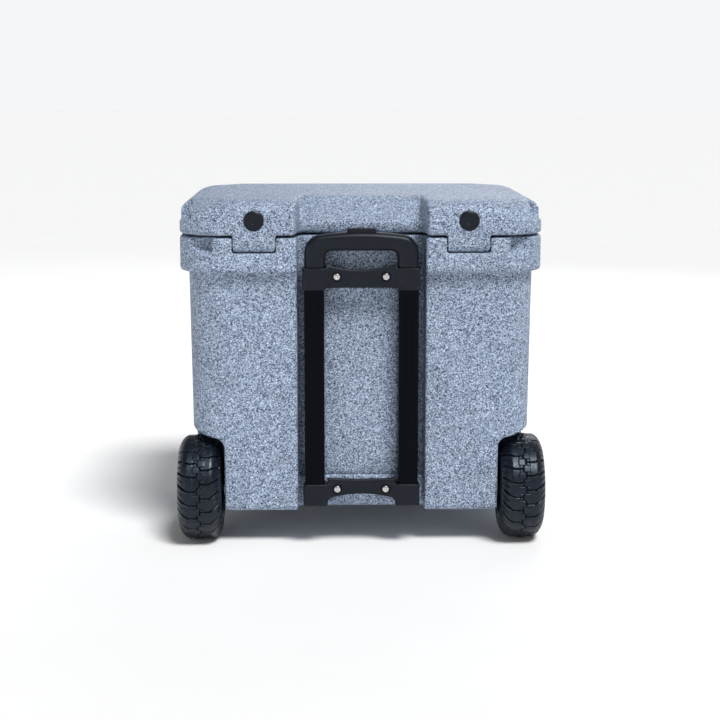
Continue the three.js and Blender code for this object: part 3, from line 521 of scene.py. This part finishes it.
# ---- lid --------------------------------------------------------------------------------------
def lid_field(g):
    x, y, z = np.abs(g.x), g.y, g.z
    edge = plan(x, y, HALF, 0, DEPTH, CORNER)
    crown_in, crown_down = 34, 19
    crown = crown_down * within(edge / crown_in, (z - LID_TOP) / crown_down, 1.0)
    # the lid's corners are drawn in further towards its top
    corner_slope = 1.2
    diagonal = (x - HALF + np.abs(y - DEPTH / 2) - DEPTH / 2) / math.sqrt(2) + 0.414 * CORNER
    corner = diagonal + np.maximum(z - 470, -30) * corner_slope
    top = within(crown, corner / math.hypot(1, corner_slope), 14)
    d = within(top, LID_BOTTOM + 0.6 - z, 3.5)
    lip = plan(x, y, LIP_HALF, LIP_REAR, LIP_FRONT, 36)
    d = joined(d, within(lip, slab(z, LID_BOTTOM - LIP_DEPTH, LID_TOP - 12), 3.5), 1)
    # recess for the handle, with a scoop up to the lid's top
    deep = within(x - (93 - np.clip(y, 0, CHANNEL_FLOOR) * 0.146), y - CHANNEL_FLOOR, 5)
    d = carved(d, deep, 4)
    scoop_start, scoop_slope, steepness = 461, 31.8 / 67, 0.90
    floor = (z - scoop_start - (y - CHANNEL_FLOOR) * scoop_slope) * steepness
    widening = 86 + np.clip(z - scoop_start, 0, 40) * 0.1
    d = carved(d, within(x - widening, np.maximum(-floor, y - 150), 5), 4)
    # tongues down to the hinge knuckles
    knuckle = disc(y, z, HINGE_Y, HINGE_Z, KNUCKLE)
    tongue = np.minimum(rectangle(y, z, 0, HINGE_Y + KNUCKLE, HINGE_Z, 460), knuckle)
    d = joined(d, within(tongue, slab(x, TONGUE_INNER, TONGUE_OUTER), 2.5), 1.5)
    d = np.maximum(d, -disc(y, z, HINGE_Y, HINGE_Z, HINGE_PIN + 0.6))
    # latch recess, tie-down pocket, port hole
    recess = slab(x, LATCH_X - LATCH_RECESS, LATCH_X + LATCH_RECESS)
    d = carved(d, within(recess, LATCH_FLOOR - y, 4), 3.5)
    pocket = within(within(TIE_WALL - x, y - TIE_FRONT, 6), TIE_LEDGE - z, 5)
    d = carved(d, pocket, 2)
    return carved(d, np.maximum(disc(x, z, PORT_X, PORT_Z, PORT_RADIUS), y - 6), 1.2)


lid_grid = Grid((-260, -4, 416), (260, 434, 497), 2.0)
moulding(lid_grid, lid_field(lid_grid), "lid",
         ("cooler_lid_moulding", "lid_filling"), ("lid_shell", "lid_foam"))


# ---- handle -----------------------------------------------------------------------------------
def grip_mesh():
    """A loop with a crowned top, hollow for the button, its spring and the two tubes."""
    g = Grid((-83, -1, 397), (83, 32, 452), 0.7)
    x, y, z = np.abs(g.x), g.y, g.z
    outside = within(x - 79.8, z - (449 - 4 * (x / 56.8) ** 2), 21)
    opening = within(x - 50.6, z - 423, 10)
    d = within(carved(outside, opening), slab(y, 2, 29), 8.5)
    d = within(d, 400.2 - z, 0.8)
    d = carved(d, np.maximum(rectangle(x, y, -20.4, 20.4, 8.1, 22.9, 2.5), 435.6 - z), 0.8)
    spring_well = np.maximum(disc(x, y, 0, 15.5, 4.4), 428.5 - z)
    tube = np.maximum(rectangle(x, y, TUBE_X - 10.5, TUBE_X + 10.5, 8.5, 21.5, 2.6), z - 425.3)
    return g.skin(np.maximum(d, -np.minimum(spring_well, tube)))


def button_mesh():
    """A bar with five grip grooves across its top."""
    g = Grid((-22, 6, 438), (22, 25, 457), 0.4)
    x, y, z = g.x, g.y, g.z
    top = 454.7 - 0.6 * (x / 20) ** 2
    d = within(rectangle(x, y, -20, 20, 8.5, 22.5, 3), np.maximum(z - top, 440 - z), 1.4)
    pitch = 40 / 6
    for k in range(-2, 3):
        d = carved(d, disc(x, z, pitch * k, 455.3, 1.5), 0.5)
    return g.skin(d)


def web(x, z, top_middle, top_end, bottom_middle, bottom_end):
    """A cross piece whose top and bottom edges may curve, with its ends 50 mm from the middle."""
    t = np.minimum((x / 50) ** 2, 1.3)
    top = top_middle + (top_end - top_middle) * t
    bottom = bottom_middle + (bottom_end - bottom_middle) * t
    return np.maximum(z - top, bottom - z)


def bracket_mesh(collar, webbing, boss_rear, screw_z, through):
    """A web with two screw bosses, and two collars open from `through` up for the tubes."""
    inner, outer, front, rear, bottom, top = collar
    g = Grid((-86, -1, bottom - 3), (86, max(rear, boss_rear) + 3, top + 8), 0.8)
    x, y, z = np.abs(g.x), g.y, g.z
    sleeve = within(rectangle(x, y, inner, outer, front, rear, 5), slab(z, bottom, top), 1.8)
    cross = np.maximum(web(x, z, *webbing), x - inner - 0.4)
    cross = within(cross, slab(y, WEB_FRONT, WEB_REAR), 2.4)
    rib_top, rib_bottom = min(top, webbing[1]) + 0.5, webbing[3] - 0.5
    rib = rectangle(x, z, inner - 3.4, inner + 1, rib_bottom, rib_top, 0.8)
    rib = within(rib, slab(y, WEB_FRONT - 1.6, WEB_REAR), 1)
    d = joined(sleeve, cross, 1.2)
    d = joined(d, rib, 0.8)
    boss = np.maximum(disc(x, z, SCREW_X, screw_z, 7), slab(y, 12, boss_rear))
    d = joined(d, boss, 1.5)
    ring = np.maximum(np.abs(disc(x, z, SCREW_X, screw_z, 5.7)) - 0.9, y - 8.4)
    d = carved(d, ring, 0.3)
    tube = rectangle(x, y, TUBE_X - 14.3, TUBE_X + 14.3, TUBE_Y - 10.3, TUBE_Y + 10.3, 3.5)
    tube = np.maximum(tube, through - z)
    hole = disc(x, z, SCREW_X, screw_z, 2.6) + 0 * y
    return g.skin(np.maximum(d, -np.minimum(tube, hole)))


build("pull_grip", grip_mesh(), "handle_upper_stage", BLACK, ["handle_grip"])
build("pull_button", button_mesh(), "release_button", BLACK, ["release_button"])
upper = bracket_mesh(collar=(50, 82.4, 3, 28, 367.8, 399.3), webbing=(396.2, 404, 371, 371),
                     boss_rear=PANEL_FRONT - 0.3, screw_z=UPPER_SCREW_Z, through=300)
lower = bracket_mesh(collar=(48, 82.8, 2.5, 29.7, 58.8, 90.3), webbing=(96.9, 98.6, 75.5, 67.8),
                     boss_rear=BEAM_FRONT - 0.3, screw_z=LOWER_SCREW_Z, through=60.7)
build("bracket_upper", upper, "cooler_body", BLACK, ["upper_bracket"])
build("bracket_lower", lower, "cooler_body", BLACK, ["lower_bracket"])


def tube_mesh(w, d, wall, radius, bottom, top):
    """A drawn tube with rounded corners and lightly broken ends."""
    def section(shrink):
        points = []
        for cx, cy, start in ((1, -1, -90), (1, 1, 0), (-1, 1, 90), (-1, -1, 180)):
            r = max(radius - shrink, 0.5)
            for k in range(9):
                a = math.radians(start + k * 90 / 8)
                points.append((TUBE_X + cx * (w / 2 - shrink - r) + r * math.cos(a),
                               TUBE_Y + cy * (d / 2 - shrink - r) + r * math.sin(a)))
        return np.array(points)
    rings = []
    for shrink, z in ((0.4, bottom), (0, bottom + 0.4), (0, top - 0.4), (0.4, top), (wall - 0.3, top),
                      (wall, top - 0.3), (wall, bottom + 0.3), (wall - 0.3, bottom)):
        outline = section(shrink)
        rings.append(np.column_stack([outline, np.full(len(outline), z)]))
    return swept(rings, closed_along=True)


STAGES = (("outer", (28, 20, 1.6, 4, 61, 398.8), "cooler_body", "black_anodised", ANODISED),
          ("middle", (24, 16, 1.4, 3.2, 66, 399.6), "handle_middle_stage", "black_anodised", ANODISED),
          ("inner", (20.4, 12.4, 1.4, 2.6, 72, 425), "handle_upper_stage", "bare_aluminium", ALUMINIUM))
for stage, size, body, slot, finish in STAGES:
    pair(f"tube_{stage}", tube_mesh(*size), (body, body), finish, f"{stage}_tube", sharp=35)


def bracket_screw_mesh(x, z, back):
    """A pan-head screw with a hexagon recess, its threaded shank in the moulding."""
    g = Grid((x - 6, back - 4, z - 6), (x + 6, back + 2, z + 6), 0.2)
    u, y, v = g.x - x, g.y, g.z - z
    rho = np.hypot(u, v)
    head = within(rho - SCREW_HEAD, slab(y, back - 2.6 + 0.045 * rho ** 2, back), 0.5)
    turn = np.arctan2(v, u)
    third = (turn + math.pi / 6) % (math.pi / 3) - math.pi / 6
    hexagon = rho * np.cos(third) - 1.7
    head = carved(head, np.maximum(hexagon, y - (back - 0.9)), 0.25)
    shank = np.maximum(rho - 2.2, slab(y, back - 0.5, back + 1.5))
    return g.skin(np.minimum(head, shank))


BODIES, LIDS = ("cooler_body",) * 2, ("lid",) * 2
for level, z in (("upper", UPPER_SCREW_Z), ("lower", LOWER_SCREW_Z)):
    pair(f"screw_{level}", bracket_screw_mesh(SCREW_X, z, WEB_FRONT - 0.3), BODIES,
         STEEL, f"{level}_bracket_screw")


# ---- wheels -----------------------------------------------------------------------------------
def smooth_step(value, low, high):
    t = np.clip((value - low) / (high - low), 0, 1)
    return t * t * (3 - 2 * t)


def tyre_section(across):
    """Evenly spaced points and outward normals from one bead over the crown to the other."""
    turn = np.linspace(0, math.pi / 2, 1200)
    flat, drop, bead = 15.5, 29, 38
    shoulder_w = flat + (TYRE_HALF - flat) * np.cos(turn) ** 1.03
    shoulder_r = TYRE_RADIUS - drop + drop * np.sin(turn) ** 1.03
    down = np.linspace(0, 1, 400)[1:]
    side_w = TYRE_HALF - 6.5 * down ** 1.8
    side_r = TYRE_RADIUS - drop - (TYRE_RADIUS - drop - bead) * down
    half_w = np.concatenate([side_w[::-1], shoulder_w])
    half_r = np.concatenate([side_r[::-1], shoulder_r])
    w, r = np.concatenate([half_w, -half_w[::-1]]), np.concatenate([half_r, half_r[::-1]])
    length = np.concatenate([[0], np.cumsum(np.hypot(np.diff(w), np.diff(r)))])
    at = np.linspace(0, length[-1], across)
    w, r = np.interp(at, length, w), np.interp(at, length, r)
    dw, dr = np.gradient(w), np.gradient(r)
    size = np.hypot(dw, dr)
    return w, r, dr / size, -dw / size, at - length[-1] / 2


def tyre_mesh(around=966, across=180):
    """The section turned round the axle, with the tread's grooves sunk into it."""
    lobes = 23
    w, r, normal_w, normal_r, reach = tyre_section(across)
    theta = 2 * np.pi * np.arange(around) / around
    pitch = 2 * np.pi * TYRE_RADIUS / lobes
    s = (theta * TYRE_RADIUS)[:, None]
    w, r, reach = w[None, :], r[None, :], np.abs(reach)[None, :]
    side = np.where(w > 0, 1.0, -1.0)
    wrap = lambda value, span=pitch: (value + span / 2) % span - span / 2
    line = lambda gap, half: 1 - smooth_step(np.abs(gap), half - 0.15, half + 0.35)
    band = lambda low, high: (smooth_step(reach, low - 0.4, low + 0.4)
                              * (1 - smooth_step(reach, high - 0.5, high + 0.5)))
    # cross grooves: level over the crown, then swept up over the shoulder; the sides are staggered
    staggered = np.where(side > 0, 0.0, pitch / 2)
    sweep = np.clip(reach - 15, 0, 22) * 0.5
    groove = line(wrap(s - staggered + sweep), 0.8 + 0.03 * reach) * band(2.2, 38)
    shoulder_notch = line(wrap(s - staggered + sweep - pitch / 2), 0.7) * band(23, 38)
    # a middle row of small blocks, by turns left and right of a zigzag groove
    zig = 2.1 * np.clip(3.2 * np.sin(2 * np.pi * (s - pitch / 4) / pitch), -1, 1)
    zigzag = line(w + zig, 0.8) * (reach < 8)
    level = line(wrap(s - staggered - pitch / 4, pitch / 2), 0.35) * band(1, 7.4)
    edge = line(reach - 7.6, 0.35) * (1 - line(wrap(s - staggered - pitch / 2), 4.6))
    sunk = 4.0 * np.maximum(groove, 0.8 * zigzag)
    sunk = np.maximum(sunk, np.maximum(1.5 * shoulder_notch, np.maximum(1.5 * level, 1.0 * edge)))
    # the shoulder blocks lie a little lower than the middle row
    sunk = sunk + 0.6 * smooth_step(reach, 7.4, 8.4)
    # below the tread the side wall is set in, with one moulded rib
    sunk = sunk + 1.2 * smooth_step(reach, 40, 42.5) - 0.8 * line(r - 46, 0.8) * (reach > 42)
    radial = np.minimum(r - sunk * normal_r, TYRE_RADIUS)
    lateral = w - sunk * normal_w
    rings = np.stack([TYRE_MIDDLE + lateral, AXLE_Y + radial * np.cos(theta)[:, None],
                      AXLE_Z + radial * np.sin(theta)[:, None]], -1)
    return swept(np.moveaxis(rings, 0, 1), closed_along=True)


def rim_mesh():
    """A moulded rim: hub, dished web with six holes and six ribs, and the barrel under the tyre."""
    g = Grid((196, AXLE_Y - 40, AXLE_Z - 40), (261, AXLE_Y + 40, AXLE_Z + 40), 0.9)
    h = g.x - TYRE_MIDDLE
    u, v = g.y - AXLE_Y, g.z - AXLE_Z
    rho, turn = np.hypot(u, v), np.arctan2(v, u)
    hub = within(rho - 14, slab(h, -32, 27), 1.5)
    dish = within(rho - 36, slab(h + 0 * rho, -9 + 0.04 * rho, 12 - 0.08 * rho), 1)
    barrel = within(within(slab(rho, 34.2, 37.6), slab(h, -25.5, 25.5), 1.2), rho - 37.6)
    d = joined(joined(hub, dish, 3), barrel, 2.5)
    sixth = (turn + math.pi / 6) % (math.pi / 3) - math.pi / 6
    cu, cv = rho * np.cos(sixth), rho * np.sin(sixth)
    d = carved(d, np.hypot(cu - 22.5, cv) - 4.8 + 0 * h, 0.9)
    spoke = turn % (math.pi / 3) - math.pi / 6
    rib = np.maximum(np.abs(rho * np.sin(spoke)) - 1.5, slab(rho, 12, 35))
    rib = within(rib, slab(h, -12, 15), 0.8)
    d = joined(d, rib, 1.5)
    return g.skin(np.maximum(d, 8.0 - rho))


WHEELS = ("wheel_left", "wheel_right")
pair("tread_tyre", tyre_mesh(), WHEELS, TYRE, "tyre")
pair("rim", rim_mesh(), WHEELS, WHEEL_BLACK, "wheel_rim")


# ---- latches ----------------------------------------------------------------------------------
def latch_mesh():
    """A T-shaped rubber latch: knuckle on the pin, broad strap, narrow neck, ball and pull tab."""
    g = Grid((LATCH_X - 28, 414, 348), (LATCH_X + 28, 443, 473), 0.8)
    x, y, z = np.abs(g.x - LATCH_X), g.y, g.z
    width = 8.5 + 13.5 * smooth_step(z, 392, 403)
    strap = within(x - width, np.maximum(slab(y, 419, 429), slab(z, 376, 464)), 2)
    strap = carved(strap, np.maximum(rectangle(x, z, -14, 14, 409, 450, 5), 427.6 - y), 0.8)
    knuckle = within(disc(y, z, LATCH_PIN_Y, LATCH_PIN_Z, 7.5), x - 22, 1.5)
    neck = within(x - 8.5, np.maximum(slab(y, 419, 436.2), slab(z, 374, 384)), 1.5)
    ball = within(disc(y, z, 436.2, 378, 6.8), x - 25, 3)
    tab = within(within(x - 18, slab(z, 352, 382), 8), slab(y, 433.2, 440.2), 2)
    d = joined(joined(joined(joined(strap, knuckle, 2), neck, 2), ball, 2.5), tab, 3)
    grooves = np.maximum(np.abs((z - 352) % 4 - 2) - 0.7, np.maximum(slab(z, 355, 368), 439.4 - y))
    d = carved(d, np.maximum(grooves, x - 13), 0.3)
    return g.skin(np.maximum(d, -disc(y, z, LATCH_PIN_Y, LATCH_PIN_Z, LATCH_PIN + 0.3)))


pair("latch_strap", latch_mesh(), ("latch_left", "latch_right"), RUBBER, "latch")


# ---- turned and small pieces ------------------------------------------------------------------
def rod(radius, x0, x1, y, z, chamfer=0.5):
    profile = [(0, x0), (radius - chamfer, x0), (radius, x0 + chamfer),
               (radius, x1 - chamfer), (radius - chamfer, x1), (0, x1)]
    return turned(profile, "x", (0, y, z), 48)


def washer(bore, radius, x0, x1, y, z):
    profile = [(bore, x0), (radius, x0), (radius, x1), (bore, x1), (bore, x0)]
    return turned(softened(profile, 0.4), "x", (0, y, z), 56)


def tie_screw():
    """A pan-head screw in the tie-down pocket, with a cross recess."""
    g = Grid((227, 52, 473), (241, 64, 485), 0.25)
    h, u, v = g.x - TIE_WALL, g.y - TIE_SCREW_Y, g.z - TIE_SCREW_Z
    rho = np.hypot(u, v)
    head = within(rho - SCREW_HEAD, slab(h, 0.05, 2.6 - 0.045 * rho ** 2), 0.5)
    arm = lambda a, b: np.maximum(np.abs(a) - 0.55, np.abs(b) - 2.3)
    head = carved(head, np.maximum(np.minimum(arm(u, v), arm(v, u)), 1.1 - h), 0.2)
    return g.skin(np.minimum(head, np.maximum(rho - 2.2, slab(h, -8, 0.3))))


def plug_mesh():
    """A push-in plug with a flange and a shallow dimple."""
    profile = [(0, -1.7), (4, -1.7), (5, -2.4), (11.5, -2.4), (14, -0.9), (14, -0.3), (12.5, -0.3),
               (12.5, 4), (0, 4)]
    return turned(softened(profile, 0.8), "y", (PORT_X, 0, PORT_Z))


pair("port_plug", plug_mesh(), LIDS, BLACK, "lid_port_plug", sharp=40)
pair("tie_screw", tie_screw(), LIDS, STEEL, "tie_down_screw")
pair("pin_hinge", rod(HINGE_PIN, 108, 204, HINGE_Y, HINGE_Z), BODIES, STEEL,
     "hinge_pin", sharp=40)
pair("pin_latch", rod(LATCH_PIN, LATCH_X - 36, LATCH_X + 36, LATCH_PIN_Y, LATCH_PIN_Z), LIDS,
     STEEL, "latch_pin", sharp=40)

bore = AXLE_RADIUS + 0.3
pair("spacer", washer(bore, 12, TYRE_MIDDLE - 35, TYRE_MIDDLE - 32.5, AXLE_Y, AXLE_Z), BODIES,
     STEEL, "axle_washer", sharp=40)
pair("bush", washer(bore, 7.7, TYRE_MIDDLE - 32, TYRE_MIDDLE + 27, AXLE_Y, AXLE_Z), WHEELS,
     NYLON, "wheel_bearing", sharp=40)
cap = [(0, 32), (5.6, 31.8), (8.8, 30.2), (10, 27.6), (bore, 27.6), (bore, 30.4), (0, 30.4)]
cap = softened([(radius, TYRE_MIDDLE + h) for radius, h in cap], 1.2)
pair("end_cap", turned(cap, "x", (0, AXLE_Y, AXLE_Z)), BODIES, BLACK, "axle_cap",
     sharp=40)
build("through_axle", rod(AXLE_RADIUS, -AXLE_END, AXLE_END, AXLE_Y, AXLE_Z), "cooler_body",
      STEEL, ["axle_rod"], sharp=40)

spout = [(6, 199), (10, 199), (10, 241.6), (17, 241.6), (17, 244.2), (6, 244.2), (6, 199)]
build("drain_spout", turned(softened(spout, 0.6), "x", (0, DRAIN_Y, DRAIN_Z)), "cooler_body",
      BLACK, ["drain_tube"], sharp=40)
build("drain_washer", washer(6, 12, 244.5, 246, DRAIN_Y, DRAIN_Z), "cooler_body",
      RUBBER, ["drain_seal"], sharp=40)


def drain_cap_mesh():
    """A screw cap with six finger lobes and a raised bar to turn it by."""
    g = Grid((220, 283, 101), (256, 317, 135), 0.5)
    h, u, v = g.x, g.y - DRAIN_Y, g.z - DRAIN_Z
    rho, turn = np.hypot(u, v), np.arctan2(v, u)
    sixth = (turn + math.pi / 6) % (math.pi / 3) - math.pi / 6
    lobed = carved(rho - 14.5, disc(rho * np.cos(sixth), rho * np.sin(sixth), 15.5, 0, 3), 1.2)
    cap = within(lobed, slab(h, 246.3, 254.2), 1.4)
    beside_bar = within(rho - 9.5, 2.2 - np.abs(v), 1)
    cap = carved(cap, np.maximum(beside_bar, 251.6 - h), 0.6)
    stem = np.maximum(rho - 5.7, slab(h, 222, 247))
    return g.skin(np.minimum(cap, stem))


build("drain_knob", drain_cap_mesh(), "drain_cap", BLACK, ["drain_cap"])


def foot_mesh():
    """A sole 3 mm inside its leg all round, with grooves underneath every 8 mm."""
    g = Grid((LEG_X - 46, LEG_REAR - 3, -1), (LEG_X + 46, LEG_FRONT + 3, LEG_BOTTOM + 2), 0.8)
    x, y, z = g.x - LEG_X, g.y, g.z
    outline = plan(x, y, LEG_HALF - 3, LEG_REAR + 3, LEG_FRONT - 3, 12)
    d = within(outline, slab(z, 0, LEG_BOTTOM - 0.3), 1.8)
    grooves = np.maximum(np.abs(x % 8 - 4) - 1, z - 1.2)
    return g.skin(carved(d, grooves + 0 * y, 0.3))


pair("sole", foot_mesh(), BODIES, RUBBER, "front_foot")
bpy.context.view_layer.update()

# ---- camera, light and floor ------------------------------------------------------------------
scene = bpy.context.scene
camera = bpy.data.objects.new("camera", bpy.data.cameras.new("camera"))
scene.collection.objects.link(camera)
camera.data.lens, camera.data.sensor_width = 79.77, 36
camera.location = (-0.0491, -2.413, 0.6484)
camera.rotation_euler = (math.radians(90 - 9.743), 0, math.radians(-1.219))
scene.camera = camera


def softbox(name, place, target, size, power, colour=(1, 1, 1)):
    data = bpy.data.lights.new(name, "AREA")
    data.shape, data.size, data.size_y, data.energy, data.color = "RECTANGLE", *size, power, colour
    lamp = bpy.data.objects.new(name, data)
    scene.collection.objects.link(lamp)
    lamp.location = place
    lamp.rotation_euler = (Vector(target) - Vector(place)).to_track_quat("-Z", "Y").to_euler()


softbox("fill", (-2.2, -1.6, 1.0), (0, 0, 0.25), (1.6, 1.6), 7)
softbox("back", (0.8, 2.4, 1.8), (0, 0, 0.3), (2.0, 1.6), 22)

# a broad, soft light from above and the handle side, a little to the right
sun = bpy.data.objects.new("key", bpy.data.lights.new("key", "SUN"))
sun.data.energy, sun.data.angle = 3.55, math.radians(20)
sun.rotation_euler = Vector((-0.40, 0.69, -1.25)).to_track_quat("-Z", "Y").to_euler()
scene.collection.objects.link(sun)

# a pale studio all round: bright at the horizon, dim overhead
world = bpy.data.worlds.new("studio")
scene.world = world
world.use_nodes = True
sky = world.node_tree
direction = sky.nodes.new("ShaderNodeSeparateXYZ")
sky.links.new(sky.nodes.new("ShaderNodeTexCoord").outputs["Generated"], direction.inputs[0])
height = sky.nodes.new("ShaderNodeMapRange")
height.interpolation_type = "SMOOTHSTEP"
for key, value in zip(("From Min", "From Max", "To Min", "To Max"), (0.16, 0.36, 0.93, 0.16)):
    height.inputs[key].default_value = value
sky.links.new(direction.outputs["Z"], height.inputs["Value"])
sky.nodes["Background"].inputs[0].default_value = (0.97, 0.985, 1.0, 1)
sky.links.new(height.outputs[0], sky.nodes["Background"].inputs[1])

floor_mesh = bpy.data.meshes.new("floor")
bm = bmesh.new()
bmesh.ops.create_grid(bm, x_segments=8, y_segments=8, size=40)
bm.to_mesh(floor_mesh)
bm.free()
floor = bpy.data.objects.new("floor", floor_mesh)
scene.collection.objects.link(floor)
ground = Finish("pale_floor", Roughness=0.9)
floor_mesh.materials.append(ground.finish(
    ground.mix(ground.noise(6, 2), (0.80, 0.80, 0.80), (0.83, 0.83, 0.83))))
floor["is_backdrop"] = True
scene.view_settings.view_transform = "Standard"

# ---- finishes for the CAD's own pieces, four of which stay visible ------------------------------
FINISHES = {
    "granite_plastic": GRANITE, "insulation_foam": FOAM, "black_plastic": BLACK,
    "wheel_plastic": WHEEL_BLACK, "black_rubber": RUBBER, "tyre_rubber": TYRE,
    "black_anodised": ANODISED, "bare_aluminium": ALUMINIUM, "stainless_steel": STEEL,
    "white_nylon": NYLON,
}
slots = {row["node"]: row["material_slot"] for row in frame["record"]["subparts"]}
for name, node in frame["nodes"].items():
    finish = FINISHES[slots[name]]
    if node.data.materials:
        for slot in node.material_slots:
            slot.material = finish
    else:
        node.data.materials.append(finish)

visual = [list(corner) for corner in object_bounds()]
